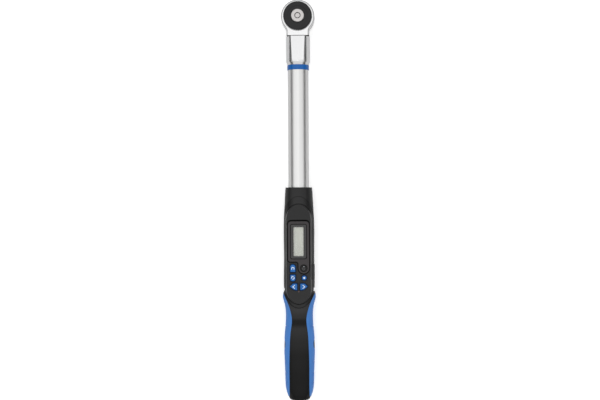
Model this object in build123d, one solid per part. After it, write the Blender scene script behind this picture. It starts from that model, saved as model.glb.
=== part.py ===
from build123d import *
import os
from math import cos, pi, radians, sin

os.makedirs("parts", exist_ok=True)

# Electronic torque wrench, millimetres. The origin is where the square drive's axis crosses the
# lever tube's axis. +Z is the display side, +Y runs out past the head, the grip lies towards -Y.

# ---------------------------------------------------------------- driving dimensions
square_drive = 12.7            # across flats, the half-inch drive
drive_tip_z = -30.4
drive_shoulder_z = -14.6
head_radius = 22.4
head_top_z = 10.3
head_bottom_z = -13.0
neck_width = 30.2
neck_end_y = -25.4

tooth_count = 72
tooth_root_radius = 17.6
tooth_tip_radius = 16.8
ratchet_floor_z = -9.0
ratchet_top_z = 4.5
bore_radius = 18.3             # plain bore above the teeth

pawl_pivot_y = 14.4
pawl_swing = 13.0              # degrees between the two driving directions
dial_swing = 50.0              # degrees the dial turns between them
stem_radius = 8.75
dial_radius = 19.1
dial_top_z = 15.2
stem_top_z = 16.4

button_radius = 3.7
release_rod_radius = 2.55
release_travel = 3.0
ball_radius = 2.4
ball_stand_out = 0.9
ball_z = -22.4

tube_radius = 13.75
tube_bore_radius = 11.25
tube_front_y = -48.0
tube_back_y = -500.0
collar_radius = 15.95
collar_front_y = -25.95         # leaves a fine open joint behind the neck
collar_back_y = -64.6
trim_ring_back_y = -71.3
collar_pin_y = (-30.5, -42.0)
collar_flat = ((-26.8, 13.0), (-58.7, 14.0))    # Y and height of the milled flat's two ends

pod_top_z = 21.5
pod_half_width = 16.0
pod_front_y = -251.0
pod_back_y = -382.3
arch_centre_y = -272.0         # centre of the half ellipses at the pod's front
tail_centre_y = -362.0         # centre of the half ellipses at the pod's back
outer_arch = (20.0, 32.0)       # half width and reach of the shallow recess before the pod
arch_recess = 0.45
pod_groove = (0.7, 0.9)        # width and depth of the line round the pod's foot
seam_back_y = -387.8           # the housing's rounded end, seated in the handle
seam_half_width = 19.5

panel_front_y = -273.2
panel_back_y = -326.4
panel_half_width = 13.9
panel_groove = 0.9
lens_size = (20.1, 44.7)
lens_centre_y = -299.9

key_stand_out = 1.0
power_key = (6.7, -335.1, 4.6)
round_key = (7.3, -347.8, 4.0)
lamp_y = -366.0

board_z = 15.2
board_thickness = 1.4

handle_back_y = -507.4
cap_back_y = -512.6
cap_radius = 14.4
disc_y = -437.5
disc_radius = 7.75

running_gap = 0.05             # radial gap of pieces that turn or slide in one another
seat_gap = 0.05                # gap left round pieces that only sit in one another

# Barrel of the housing: Y, half width, top, bottom
barrel_stations = [
    (-228.2, 17.75, 17.4, 17.4),
    (-240.0, 18.60, 18.4, 18.1),
    (-256.0, 19.45, 19.2, 18.7),
    (-274.0, 20.30, 19.9, 19.3),
    (-300.0, 20.45, 20.2, 19.5),
    (-335.0, 20.45, 20.2, 19.5),
    (-364.0, 20.40, 20.0, 19.5),
    (-392.0, 19.60, 18.6, 19.0),
]

# Handle: Y, half width, top, bottom
handle_stations = [
    (-364.0, 19.60, 19.6, 19.2),
    (-368.5, 21.20, 19.7, 19.5),
    (-375.0, 21.95, 19.4, 19.6),
    (-383.0, 19.90, 18.6, 19.0),
    (-391.0, 18.50, 17.2, 18.0),
    (-400.0, 18.10, 15.9, 17.3),
    (-410.0, 18.50, 15.3, 17.2),
    (-422.0, 19.60, 17.1, 17.9),
    (-445.0, 20.50, 18.6, 18.9),
    (-462.0, 19.95, 18.5, 18.8),
    (-482.0, 19.30, 18.0, 18.3),
    (-495.0, 18.60, 17.6, 17.8),
    (-502.0, 17.10, 16.9, 17.0),
    (-507.4, 15.20, 15.2, 15.2),
]

# Edge of the black strip along the handle's top and bottom: half width, Y
strip_edge = [
    (20.9, -369.6), (18.2, -375.0), (14.6, -383.0), (11.4, -393.0), (9.7, -403.0),
    (11.2, -419.0), (12.6, -439.5), (13.2, -460.0), (13.2, -485.0), (13.4, -506.8),
]
grip_groove_y = (-413.4, -460.3, -475.0, -488.6)


def save(shape, node):
    """Write one sub-part to its own STEP file."""
    export_step(shape, "parts/" + node + ".step")


def tube_solid(outer, inner, y_front, y_back):
    """Round sleeve about the Y axis."""
    length = y_front - y_back
    place = Location((0, (y_front + y_back) / 2, 0), (90, 0, 0))
    sleeve = Cylinder(outer, length)
    if inner > 0:
        sleeve -= Cylinder(inner, length + 1)
    return place * sleeve


def disc_solid(radius, z_low, z_high, x=0.0, y=0.0):
    """Round disc about a line parallel to Z."""
    return Pos(x, y, (z_low + z_high) / 2) * Cylinder(radius, z_high - z_low)


def turned(points, axis):
    """Solid of revolution from half-profile points (radius, station)."""
    if axis == Axis.Z:
        outline = [(r, 0, s) for r, s in points]
    else:
        outline = [(r, s, 0) for r, s in points]
    profile = make_face(Polyline(*outline, close=True))
    return revolve(profile, axis)


def prism(sketch, z_low, z_high):
    """Straight solid over a plan outline."""
    return extrude(Pos(0, 0, z_low) * sketch, amount=z_high - z_low, dir=(0, 0, 1))


def signed_power(value, exponent):
    return abs(value) ** exponent if value >= 0 else -abs(value) ** exponent


def oval(y, half_width, top, bottom, squareness=2.35, count=12):
    """Closed moulded section in a plane of constant Y, flatter than an ellipse."""
    points = []
    for i in range(count):
        angle = 2 * pi * i / count
        x = half_width * signed_power(cos(angle), 2 / squareness)
        height = top if sin(angle) > 0 else bottom
        points.append((x, y, height * signed_power(sin(angle), 2 / squareness)))
    return make_face(Spline(*points, periodic=True))


def skin(stations, inset=0.0, squareness=2.35):
    """Smooth body through moulded sections, each one drawn in by the inset."""
    sections = [oval(y, w - inset, t - inset, b - inset, squareness) for y, w, t, b in stations]
    return loft(sections)


def spring_coil(radius, wire, height, turns):
    """Compression spring standing on z = 0."""
    path = Helix(pitch=(height - 2 * wire) / turns, height=height - 2 * wire, radius=radius)
    section = Plane(origin=path @ 0, z_dir=path % 0) * RegularPolygon(wire, 6)
    return Pos(0, 0, wire) * sweep(section, path=path, is_frenet=True)


# ---------------------------------------------------------------- ratchet head
def tooth_outline(shift=0.0):
    """Closed zigzag of the ring of teeth, with a root on the +Y axis."""
    points = []
    for i in range(tooth_count):
        root = radians(90 + 360 * i / tooth_count)
        tip = root + pi / tooth_count
        points.append(((tooth_root_radius - shift) * cos(root), (tooth_root_radius - shift) * sin(root)))
        points.append(((tooth_tip_radius - shift) * cos(tip), (tooth_tip_radius - shift) * sin(tip)))
    return Polygon(*points, align=None)


def head_forging():
    """Round head, neck and shank in one forging, with the ring of teeth cut inside."""
    plan = Circle(head_radius) + Pos(0, (neck_end_y - 12) / 2) * Rectangle(neck_width, -12 - neck_end_y)
    corners = [v for v in plan.vertices() if -21 < v.Y < -12]
    plan = fillet(corners, 7.0)
    body = prism(plan, head_bottom_z, head_top_z)
    rim = body.edges().filter_by(Plane.XY)
    body = fillet([e for e in rim if e.center().Y > neck_end_y + 0.5], 2.6)
    body += tube_solid(12.4, 0, neck_end_y, -47.0)
    body -= tube_solid(6.0, 0, -35.0, -48.0)
    body -= prism(tooth_outline(), ratchet_floor_z, ratchet_top_z)
    body -= disc_solid(bore_radius, ratchet_top_z, head_top_z + 1)
    body -= disc_solid(19.3, 6.1, 7.4)
    body -= disc_solid(12.5, head_bottom_z - 1, ratchet_floor_z + 1)
    for hole in collar_pin_solids(2.5):
        body -= hole
    return body


def drive_rotor():
    """Spindle that carries the square drive, the pawl pocket and the release stem."""
    core = turned([
        (0, drive_shoulder_z - 1), (8.6, drive_shoulder_z - 1), (8.6, drive_shoulder_z),
        (12.4, drive_shoulder_z), (12.4, -8.9), (16.6, -8.9), (16.6, 4.4), (stem_radius, 4.4),
        (stem_radius, stem_top_z - 0.6), (stem_radius - 0.6, stem_top_z), (0, stem_top_z),
    ], Axis.Z)
    square = prism(Rectangle(square_drive, square_drive), drive_tip_z, drive_shoulder_z)
    square = chamfer(square.edges().filter_by(Axis.Z), 0.9)
    square = chamfer(square.faces().sort_by(Axis.Z)[0].edges(), 1.0)
    core += square
    core -= prism(ring_sector(9.15, 17.0, 42), -7.0, 4.5)
    core -= disc_solid(4.1, 5.0, stem_top_z + 1)
    core -= disc_solid(release_rod_radius + 0.07, -28.6, 5.5)
    core -= ball_place() * Pos(0, -0.6, 0) * Rot(90, 0, 0) * Cylinder(ball_radius + 0.05, 5.6)
    core -= disc_solid(1.5, -8.6, -6.0, 0, pawl_pivot_y)
    core -= disc_solid(1.4, -2.0, 4.6, 0, -13.0)
    groove = disc_solid(stem_radius + 1, 12.1, 13.0) - disc_solid(stem_radius - 0.7, 12.0, 13.1)
    return core - groove


def ring_sector(inner, outer, half_angle):
    """Plan outline of a slice of a ring, centred on +Y."""
    a = radians(half_angle)
    left_out = (-outer * sin(a), outer * cos(a))
    right_out = (outer * sin(a), outer * cos(a))
    left_in = (-inner * sin(a), inner * cos(a))
    right_in = (inner * sin(a), inner * cos(a))
    edges = [
        ThreePointArc(left_out, (0, outer), right_out),
        Line(right_out, right_in),
        ThreePointArc(right_in, (0, inner), left_in),
        Line(left_in, left_out),
    ]
    return make_face(edges)


def ball_place():
    return Pos(0, square_drive / 2 + ball_stand_out - ball_radius, ball_z)


def pawl():
    """Rocking pawl: each end has teeth, and only one end meets the ring at a time."""
    sector = ring_sector(12.2, 18.5, 34) & Pos(10.0, 12) * Rectangle(10.0, 20)
    driving_end = sector & tooth_outline(0.08)
    idle_end = mirror(driving_end, Plane.YZ)
    idle_end = Pos(0, pawl_pivot_y) * Rot(0, 0, pawl_swing) * Pos(0, -pawl_pivot_y) * idle_end
    web = Pos(0, pawl_pivot_y - 0.4) * Rot(0, 0, pawl_swing / 2) * Rectangle(11.0, 2.6)
    web += Pos(0, pawl_pivot_y) * Circle(2.3)
    plan = driving_end + idle_end + web - Pos(0, pawl_pivot_y) * Circle(1.5 + running_gap)
    return prism(plan, -6.9, 4.3)


def cover_plate():
    """Washer that shuts the pawl pocket, with a window for the dial's finger."""
    plate = disc_solid(bore_radius - 0.1, 4.5, 6.0) - disc_solid(stem_radius + seat_gap, 4, 7)
    plate -= prism(ring_sector(9.3, 11.9, 35), 4, 7)
    plate -= disc_solid(1.3, 4, 7, 0, -13.0)
    return plate


def retaining_ring():
    """Snap ring in the head's groove above the cover plate."""
    ring = disc_solid(19.2, 6.15, 7.35) - disc_solid(16.6, 6, 8)
    return ring - Pos(0, 18, 6.75) * Box(9, 6, 3)


def reverse_dial():
    """Knurled reversing dial, with a hub in the bore and a dished face round the stem."""
    bore = stem_radius + running_gap
    dial = turned([
        (bore, 6.2), (16.3, 6.2), (16.3, 10.6), (dial_radius - 0.5, 10.6), (dial_radius, 11.1),
        (dial_radius, dial_top_z - 0.9), (dial_radius - 0.9, dial_top_z), (13.4, dial_top_z),
        (10.6, 11.8), (bore, 11.8),
    ], Axis.Z)
    notch = Cylinder(0.55, dial_top_z - 10.2)
    for i in range(48):
        angle = radians(360 * i / 48)
        reach = dial_radius + 0.2
        dial -= Pos(reach * cos(angle), reach * sin(angle), (dial_top_z + 10.6) / 2) * notch
    track_plan = ring_sector(11.6, 14.4, dial_swing / 2 + 6.5)
    return dial - prism(Rot(0, 0, 180 - dial_swing / 2) * track_plan, 6.0, 7.35)


def cam_finger():
    """Finger under the dial that holds one end of the pawl out in the teeth."""
    finger = prism(Rot(0, 0, -dial_swing / 2) * ring_sector(9.5, 11.6, 6.5), -5.5, 6.2)
    return finger


def dial_clip():
    clip = disc_solid(10.2, 12.15, 12.95) - disc_solid(stem_radius - 0.6, 12, 13)
    return clip - Pos(0, -9.4, 12.5) * Box(6, 5, 2)


def release_button():
    """Round push button with a domed top, in the stem."""
    button = disc_solid(button_radius, 10.6, stem_top_z + 0.4)
    button = fillet(button.faces().sort_by(Axis.Z)[-1].edges(), 1.4)
    return button - disc_solid(1.6, 10, 13.0)


def release_rod():
    """Rod with a waist: pressed down, the waist comes level with the ball."""
    waist_z = ball_z + release_travel
    full = release_rod_radius
    return turned([
        (0, -25.2), (full - 0.4, -25.2), (full, waist_z - 3.85), (full, waist_z - 3.75),
        (1.30, waist_z), (1.30, waist_z + 2.2), (full, waist_z + 3.5),
        (full, 10.6), (1.6, 10.6), (1.6, 13.0), (0, 13.0),
    ], Axis.Z)


# ---------------------------------------------------------------- collar, tube and sensing beam
def collar_pin_solids(radius):
    """Cross pins driven in from below, through collar, shank and spigot."""
    pins = [disc_solid(radius, -14.9, 7.5, 0, y) for y in collar_pin_y]
    return pins


def collar():
    """Steel collar that joins head and tube, milled flat above and below."""
    body = turned([
        (12.4 + seat_gap, collar_front_y), (collar_radius - 0.9, collar_front_y),
        (collar_radius, collar_front_y - 0.9), (collar_radius, -60.3), (14.15, collar_back_y + seat_gap),
        (tube_radius + seat_gap, collar_back_y + seat_gap), (tube_radius + seat_gap, tube_front_y),
        (12.4 + seat_gap, tube_front_y),
    ], Axis.Y)
    (y_front, z_front), (y_back, z_back) = collar_flat
    rise = (z_front - z_back) / (y_front - y_back)
    z_start = z_front + rise * (-20 - y_front)
    cutter = Polygon((-20, z_start), (y_back, z_back), (y_back, 24), (-20, 24), align=None)
    cutter = extrude(Plane.YZ * cutter, amount=20, both=True)
    body -= cutter
    body -= mirror(cutter, Plane.XY)
    for y in collar_pin_y:
        body -= disc_solid(2.5, -17, 0, 0, y)
    return body


def trim_ring():
    ring = tube_solid(14.55, tube_radius + seat_gap, collar_back_y - seat_gap, trim_ring_back_y)
    return chamfer([e for e in ring.edges().filter_by(GeomType.CIRCLE) if e.radius > 14], 0.35)


def lever_tube():
    """Steel tube from the collar to the grip's end, with a slot for the gauge cable."""
    tube = tube_solid(tube_radius, tube_bore_radius, tube_front_y, tube_back_y)
    tube -= Pos(0, -261, 12) * Box(3.2, 30, 8)
    return tube


def sensing_beam():
    """Bending beam that the strain gauges are bonded to."""
    spigot = tube_solid(5.95, 0, -36.0, -50.0)
    flange = tube_solid(11.2, 0, -48.1, -57.0)
    flexure = Pos(0, -104, 0) * Box(11, 96, 16)
    flexure = fillet(flexure.edges().filter_by(Axis.Y), 2.0)
    rod = tube_solid(5.5, 0, -150.0, -196.0)
    boss = tube_solid(11.2, 0, -190.0, -206.0)
    beam = spigot + flange + flexure + rod + boss
    for side in (-1, 1):
        beam -= Pos(side * 6.0, -95, 0) * Box(2.4, 26, 10)
    beam -= Pos(0, -198, 10.4) * Box(3, 20, 3.4)
    beam -= collar_pin_solids(2.5)[-1]
    return beam


def strain_gauges():
    """Four foil gauges, two in each milled pocket."""
    gauges = []
    for side in (-1, 1):
        for y in (-89.0, -101.0):
            gauges.append(Pos(side * 4.9, y, 0) * Box(0.2, 8, 5))
    return Compound(children=gauges)


def gauge_cable():
    """Thin cable from the beam, through the tube's slot, to the underside of the board."""
    run = FilletPolyline(
        (0, -100, 9.4), (0, -244, 9.4), (0, -270, 14.5), (0, -290, 14.5), radius=[60, 60]
    )
    return sweep(Plane(origin=run @ 0, z_dir=run % 0) * Circle(0.6), path=run)


# ---------------------------------------------------------------- electronics housing
def arch_plan(half_width, front_y, back_y, side_centre_y, tail_y):
    """Plan outline with a half ellipse at each end and straight sides."""
    front = side_centre_y
    edges = [
        EllipticalCenterArc((0, front), half_width, front_y - front, 0, arc_size=180),
        Line((-half_width, front), (-half_width, tail_y)),
        EllipticalCenterArc((0, tail_y), half_width, tail_y - back_y, 180, arc_size=180),
        Line((half_width, tail_y), (half_width, front)),
    ]
    return make_face(edges)


def seam_plan(grow=0.0):
    """Everything of the housing in plan: square in front, half ellipse at the back."""
    half = seam_half_width + grow
    back = tail_centre_y - seam_back_y + grow
    edges = [
        Line((-30, -200), (30, -200)),
        Line((30, -200), (30, tail_centre_y)),
        Line((30, tail_centre_y), (half, tail_centre_y)),
        EllipticalCenterArc((0, tail_centre_y), half, back, 180, arc_size=180),
        Line((-half, tail_centre_y), (-30, tail_centre_y)),
        Line((-30, tail_centre_y), (-30, -200)),
    ]
    return make_face(edges)


def tab_key(centre_y, length):
    """Key with a half-round front end and a squarer back end."""
    x, half = -7.7, 4.2
    front_y = centre_y + length / 2
    back_y = centre_y - length / 2
    return make_face(FilletPolyline(
        (x - half, front_y), (x + half, front_y), (x + half, back_y), (x - half, back_y),
        radius=[3.8, 3.8, 1.3, 1.3], close=True
    ))


def key_plans(grow=0.0):
    """Plan outline of each key, grown by the given clearance."""
    menu = tab_key(-335.05, 11.5)
    unit = Pos(0, -347.85) * mirror(tab_key(0, 10.3), Plane.XZ)
    arrow = Polygon(
        (-1.2, -354.4), (-7.8, -354.4), (-12.3, -358.2), (-12.0, -360.2), (-7.2, -364.0),
        (-3.4, -364.9), (-1.2, -364.9), align=None
    )
    arrow = fillet(arrow.vertices(), 1.1)
    plans = {
        "key_menu": menu,
        "key_unit": unit,
        "key_round": Pos(round_key[0], round_key[1]) * Circle(round_key[2]),
        "key_back": arrow,
        "key_forward": mirror(arrow, Plane.YZ),
        "key_power": Pos(power_key[0], power_key[1]) * Circle(power_key[2]),
    }
    if grow > 0:
        plans = {name: offset(plan, grow) for name, plan in plans.items()}
    return plans


def panel_plan(grow=0.0):
    """Face panel in plan: rounded rectangle with a lobe round the power key."""
    lobe_left = power_key[0] - 7.0
    lobe_back_y = power_key[1] - 7.0
    outline = FilletPolyline(
        (-panel_half_width, panel_front_y), (panel_half_width, panel_front_y),
        (panel_half_width, lobe_back_y), (lobe_left, lobe_back_y),
        (lobe_left, panel_back_y), (-panel_half_width, panel_back_y),
        radius=[4.2, 4.2, 7.0, 7.0, 3.4, 2.4], close=True
    )
    plan = make_face(outline)
    return offset(plan, grow) if grow > 0 else plan


def pod():
    """Raised display pod: drafted sides, arched front ramp, rounded tail."""
    plan = arch_plan(pod_half_width, pod_front_y, pod_back_y, arch_centre_y, tail_centre_y)
    block = extrude(Pos(0, 0, pod_top_z) * plan, amount=13, dir=(0, 0, -1), taper=-9)
    ramp = Polygon(
        (-235, 17.4), (panel_front_y + 1.6, pod_top_z), (panel_front_y + 1.6, 30), (-235, 30),
        align=None
    )
    block -= extrude(Plane.YZ * ramp, amount=25, both=True)
    return block


def port_rim(grow, x_low, x_high):
    """Rounded block over the port recess, seen from the side."""
    outline = Pos(-340.75, 9.6) * RectangleRounded(19.5 + 2 * grow, 10.4 + 2 * grow, 2.4 + grow)
    return extrude(Plane.YZ.offset(x_low) * outline, amount=x_high - x_low)


def housing_block():
    """Outer body of the housing, cored for tube, board, keys, lens and port."""
    outer = skin(barrel_stations)
    recess_plan = Pos(0, arch_centre_y) * Ellipse(*outer_arch) & Pos(0, arch_centre_y + 25) * Rectangle(60, 50)
    outer -= prism(recess_plan, 5, 30) - skin(barrel_stations, inset=arch_recess)
    foot = arch_plan(
        pod_half_width + 0.5 + pod_groove[0], pod_front_y + 0.5 + pod_groove[0],
        pod_back_y - 0.5 - pod_groove[0], arch_centre_y, tail_centre_y
    )
    outer -= prism(foot, 5, 30) - skin(barrel_stations, inset=pod_groove[1])
    outer += pod()
    outer &= prism(seam_plan(), -40, 40)
    outer -= skin(barrel_stations, inset=2.3) & Pos(0, -301, 0) * Box(60, 102, 60)
    outer -= prism(arch_plan(13.9, -258, -377, -266, tail_centre_y), 12, 17.5)
    outer -= prism(arch_plan(13.9, -269, -377, -274, tail_centre_y), 17, 19.3)
    outer -= tube_solid(tube_radius + seat_gap, 0, -220, -400)
    outer -= prism(panel_plan(panel_groove), pod_top_z - 1.3, pod_top_z + 1)
    outer -= prism(Pos(0, lens_centre_y) * RectangleRounded(18.6, 43.4, 1.5), 19, pod_top_z)
    for plan in key_plans(0.3).values():
        outer -= prism(plan, 19, pod_top_z + 1)
    outer -= disc_solid(1.0, 19, pod_top_z + 1, 0, lamp_y)
    recess = port_rim(0.3, 10, 30) + port_sweep() - skin(barrel_stations[3:7], inset=1.6)
    outer -= recess
    outer -= Pos(16, -340.75, 12.7) * Box(12, 9.6, 3.9)
    outer -= port_hinge(1.3, 20.1)
    return outer


def port_hinge(radius, length):
    """Round hinge bead along the port cover's lower edge."""
    return Pos(20.0, -340.75, 4.2) * Rot(90, 0, 0) * Cylinder(radius, length)


def port_sweep():
    """Room that the cover's upper edge needs as it swings out, also the finger notch."""
    swing = Pos(20.0, -340.75, 4.2) * Rot(90, 0, 0) * Cylinder(12.9, 20.1)
    return swing & Pos(20, -340.75, 14.2) * Box(20, 30, 20)


def port_cover():
    """Soft cover over the port, hinged on its lower bead."""
    wall = skin(barrel_stations[3:7], inset=-0.5) - skin(barrel_stations[3:7], inset=1.3)
    patch = port_rim(0, 10, 30) & wall
    patch -= Pos(20, -340.75, 3.0) * Box(20, 30, 3.4)
    return patch + port_hinge(1.0, 19.3)


def housing_screw_places():
    return [(side * x, y) for y, x in ((-239.0, 16.2), (-356.5, 17.0)) for side in (-1, 1)]


def housing_screws():
    """Pan-head screws driven from below through the lower shell."""
    screws = []
    for x, y in housing_screw_places():
        screw = disc_solid(2.0, -10.6, -9.0, x, y) + disc_solid(1.15, -9.0, 6.0, x, y)
        slot = Pos(x, y, -10.6) * (Box(2.6, 0.6, 1.4) + Box(0.6, 2.6, 1.4))
        screws.append(screw - slot)
    return Compound(children=screws)


def housing_halves():
    """Upper and lower shells, parted on the tube's centre plane."""
    block = housing_block()
    bosses = None
    for x, y in housing_screw_places():
        if y < -300:
            boss = disc_solid(2.7, -12.5, 8.5, x, y) & skin(barrel_stations, inset=0.5)
            bosses = boss if bosses is None else bosses + boss
    block += bosses - tube_solid(tube_radius + seat_gap, 0, -220, -400)
    for x, y in housing_screw_places():
        block -= disc_solid(1.15, -9.5, 6.2, x, y)
        block -= disc_solid(2.3, -22, -9.0, x, y)
    upper = block & Pos(0, -310, 20) * Box(80, 240, 40)
    lower = block & Pos(0, -310, -20) * Box(80, 240, 40)
    return upper, lower


def face_panel():
    """Display bezel with the lens opening and the power key's hole."""
    panel = prism(panel_plan(), pod_top_z - 1.3, pod_top_z - 0.2)
    opening = RectangleRounded(lens_size[0] + 0.6, lens_size[1] + 0.6, 2.2)
    panel -= prism(Pos(0, lens_centre_y) * opening, 19, 23)
    panel -= disc_solid(power_key[2] + 0.4, 19, 23, power_key[0], power_key[1])
    return panel


def display_lens():
    outline = Pos(0, lens_centre_y) * RectangleRounded(lens_size[0], lens_size[1], 1.9)
    return prism(outline, pod_top_z - 1.3, pod_top_z - 0.45)


def lcd_module():
    """Glass display cell on its black carrier."""
    carrier = Pos(0, lens_centre_y, 17.5) * Box(17.6, 42.4, 1.8)
    glass = Pos(0, lens_centre_y, 18.8) * Box(16.4, 41.2, 0.8)
    return carrier + glass


def circuit_board():
    plan = arch_plan(13.2, -259, -375, -266, tail_centre_y)
    return prism(plan, board_z, board_z + board_thickness)


def keypad_mat():
    top = board_z + board_thickness
    mat = Pos(0, -345.35, top + 0.55) * Box(25, 38.5, 0.3)
    for x, y in key_centres():
        mat += disc_solid(2.4, top + 0.7, top + 0.78, x, y)
    return mat


def key_centres():
    spots = [(-7.7, -335.05), (-7.7, -347.85), (-6.6, -359.6), (6.6, -359.6)]
    return spots + [round_key[:2], power_key[:2]]


def snap_domes():
    """Metal snap domes on the board, one under each key."""
    top = board_z + board_thickness
    domes = [disc_solid(2.6, top, top + 0.35, x, y) for x, y in key_centres()]
    return Compound(children=domes)


def key_cap(plan, flange_plan):
    """Moulded key: rounded top edge and a flange under the housing."""
    cap = prism(plan, 18.1, pod_top_z + key_stand_out)
    cap = fillet(cap.faces().sort_by(Axis.Z)[-1].edges(), 0.6)
    return cap + prism(flange_plan, 18.1, 18.8)


def buzzer():
    return disc_solid(4.6, board_z + board_thickness, board_z + board_thickness + 0.85, 0, -264.5)


def port_socket():
    """Data socket on the board's underside, its mouth facing the port cover."""
    shell = Pos(11.2, -340.75, 12.75) * Box(3.2, 8.6, 4.9)
    return shell - Pos(12.0, -340.75, 12.7) * Box(3.2, 7.0, 3.0)


def status_lamp():
    return disc_solid(0.95, board_z + board_thickness, pod_top_z + 0.1, 0, lamp_y)


# ---------------------------------------------------------------- handle
def side_plan(extra=0.0):
    """Plan region outside the black strip, on the +X side."""
    edge = [(x + extra, y) for x, y in strip_edge]
    first, last = edge[0], edge[-1]
    edges = [
        Spline(*edge),
        Line(last, (32, last[1])),
        Line((32, last[1]), (32, first[1])),
        Line((32, first[1]), first),
    ]
    return make_face(edges)


def handle_parts():
    """Black core and the two soft grips let into its sides."""
    outer = skin(handle_stations, squareness=2.2)
    inner = skin(handle_stations, inset=2.6, squareness=2.2)
    core = outer - tube_solid(tube_radius + seat_gap, 0, -350, tube_back_y)
    core -= tube_solid(12.9, 0, tube_back_y + 1, -520)
    core -= prism(seam_plan(seat_gap), -40, 40)
    core -= prism(seam_plan(0.75), -40, 40) - skin(handle_stations, inset=1.0, squareness=2.2)
    skin_layer = outer - inner
    for y in grip_groove_y:
        groove = outer - skin(handle_stations, inset=0.7, squareness=2.2)
        skin_layer -= groove & Pos(0, y, 0) * Box(60, 1.5, 22)
    grips = []
    for side in (1, -1):
        region = side_plan()
        if side < 0:
            region = mirror(region, Plane.YZ)
        zone = prism(region, -30, 30)
        grip = skin_layer & zone
        core -= (outer - inner) & zone
        pocket = Pos(side * 21, disc_y, 0) * Rot(0, 90, 0) * Cylinder(disc_radius + 0.1, 5.0)
        grip -= pocket
        core -= pocket
        grips.append(grip)
    return core, grips[0], grips[1]


def grip_discs():
    """Round inserts in the sides of the grips, set a little below the surface."""
    limit = skin(handle_stations, inset=0.3, squareness=2.2)
    discs = []
    for side in (1, -1):
        disc = Pos(side * 20.0, disc_y, 0) * Rot(0, 90, 0) * Cylinder(disc_radius, 2.9)
        discs.append(disc & limit)
    return Compound(children=discs)


def battery_sleeve():
    sleeve = tube_solid(tube_bore_radius - seat_gap, 7.6, -383.0, -485.5)
    return sleeve


def cells():
    """Two cylindrical cells end to end, each with its raised contact."""
    found = []
    for y_front in (-386.0, -436.6):
        can = tube_solid(7.25, 0, y_front - 1.0, y_front - 50.4)
        nub = tube_solid(2.7, 0, y_front, y_front - 1.2)
        found.append(can + nub)
    return Compound(children=found)


def front_contact():
    plate = tube_solid(10.4, 0, -381.6, -382.9)
    return plate + tube_solid(3.0, 0, -382.9, -385.9)


def bayonet_ring():
    """Ring in the tube's end with the lug groove for the battery cap."""
    ring = tube_solid(tube_bore_radius - seat_gap, 8.6, -486.0, tube_back_y)
    ring -= tube_solid(10.3, 0, -490.0, -492.6)
    for side in (1, -1):
        ring -= Pos(side * 9.0, -496.4, 0) * Box(3.0, 9.0, 3.6)
    return ring


def battery_cap():
    """End cap that turns to lock: flange, neck, two lugs and a coin slot."""
    flange = turned([
        (0, handle_back_y - 0.15), (cap_radius, handle_back_y - 0.15), (cap_radius, -508.6),
        (13.4, -510.6), (11.6, -511.9), (8.6, cap_back_y + 0.1), (0, cap_back_y),
    ], Axis.Y)
    shoulder = tube_solid(12.7, 0, -500.4, -508.0)
    neck = tube_solid(8.4, 0, -489.0, -502.0)
    cap = flange + shoulder + neck
    lug = Pos(0, -491.3, 0) * Box(19.6, 2.0, 3.0)
    cap += Rot(0, -60, 0) * lug
    cap -= tube_solid(6.6, 0, -480.0, -499.5)
    cap -= Pos(0, cap_back_y, 0) * Box(15, 3.2, 2.2)
    cap -= tube_solid(13.5, 11.3, -503.6, -505.6)
    return cap


def cap_seal():
    return tube_solid(12.85, 11.35, -503.8, -505.4)


def cap_spring():
    coil = spring_coil(4.6, 0.45, 11.9, 4)
    return Location((0, -499.5, 0), (-90, 0, 0)) * coil


# ---------------------------------------------------------------- build and write
save(head_forging(), "head_forging")
save(retaining_ring(), "retaining_ring")
save(drive_rotor(), "drive_rotor")
save(cover_plate(), "cover_plate")
save(disc_solid(1.45, -8.5, 4.4, 0, pawl_pivot_y), "pawl_pin")
save(pawl(), "pawl")
save(reverse_dial(), "reverse_dial")
save(cam_finger(), "cam_finger")
save(dial_clip(), "dial_clip")
save(Pos(0, -13.0, 6.0) * Sphere(1.2), "detent_ball")
save(Pos(0, -13.0, -2.0) * spring_coil(0.95, 0.2, 6.8, 6), "detent_spring")
save(release_button(), "release_button")
save(release_rod(), "release_rod")
save(Pos(0, 0, 5.0) * spring_coil(3.3, 0.35, 5.6, 4), "release_spring")
save(ball_place() * Sphere(ball_radius), "socket_ball")

save(collar(), "collar")
save(Compound(children=collar_pin_solids(2.45)), "collar_pins")
save(trim_ring(), "trim_ring")
save(lever_tube(), "lever_tube")
save(sensing_beam(), "sensing_beam")
save(strain_gauges(), "strain_gauges")
save(gauge_cable(), "gauge_cable")

upper_shell, lower_shell = housing_halves()
save(upper_shell, "housing_upper")
save(lower_shell, "housing_lower")
save(housing_screws(), "housing_screws")
save(face_panel(), "face_panel")
save(display_lens(), "display_lens")
save(lcd_module(), "lcd_module")
save(circuit_board(), "circuit_board")
save(snap_domes(), "snap_domes")
save(keypad_mat(), "keypad_mat")
save(buzzer(), "buzzer")
save(port_socket(), "port_socket")
save(port_cover(), "port_cover")
save(status_lamp(), "status_lamp")
flange_plans = key_plans(0.5)
for key_name, key_plan in key_plans().items():
    save(key_cap(key_plan, flange_plans[key_name]), key_name)

handle_core, grip_right, grip_left = handle_parts()
save(handle_core, "handle_core")
save(grip_right, "grip_right")
save(grip_left, "grip_left")
save(grip_discs(), "grip_discs")
save(battery_sleeve(), "battery_sleeve")
save(cells(), "cells")
save(front_contact(), "front_contact")
save(bayonet_ring(), "bayonet_ring")
save(battery_cap(), "battery_cap")
save(cap_seal(), "cap_seal")
save(cap_spring(), "cap_spring")
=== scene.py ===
import math
import bmesh
import bpy
from mathutils import Matrix, Vector
from mathutils.bvhtree import BVHTree


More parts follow.
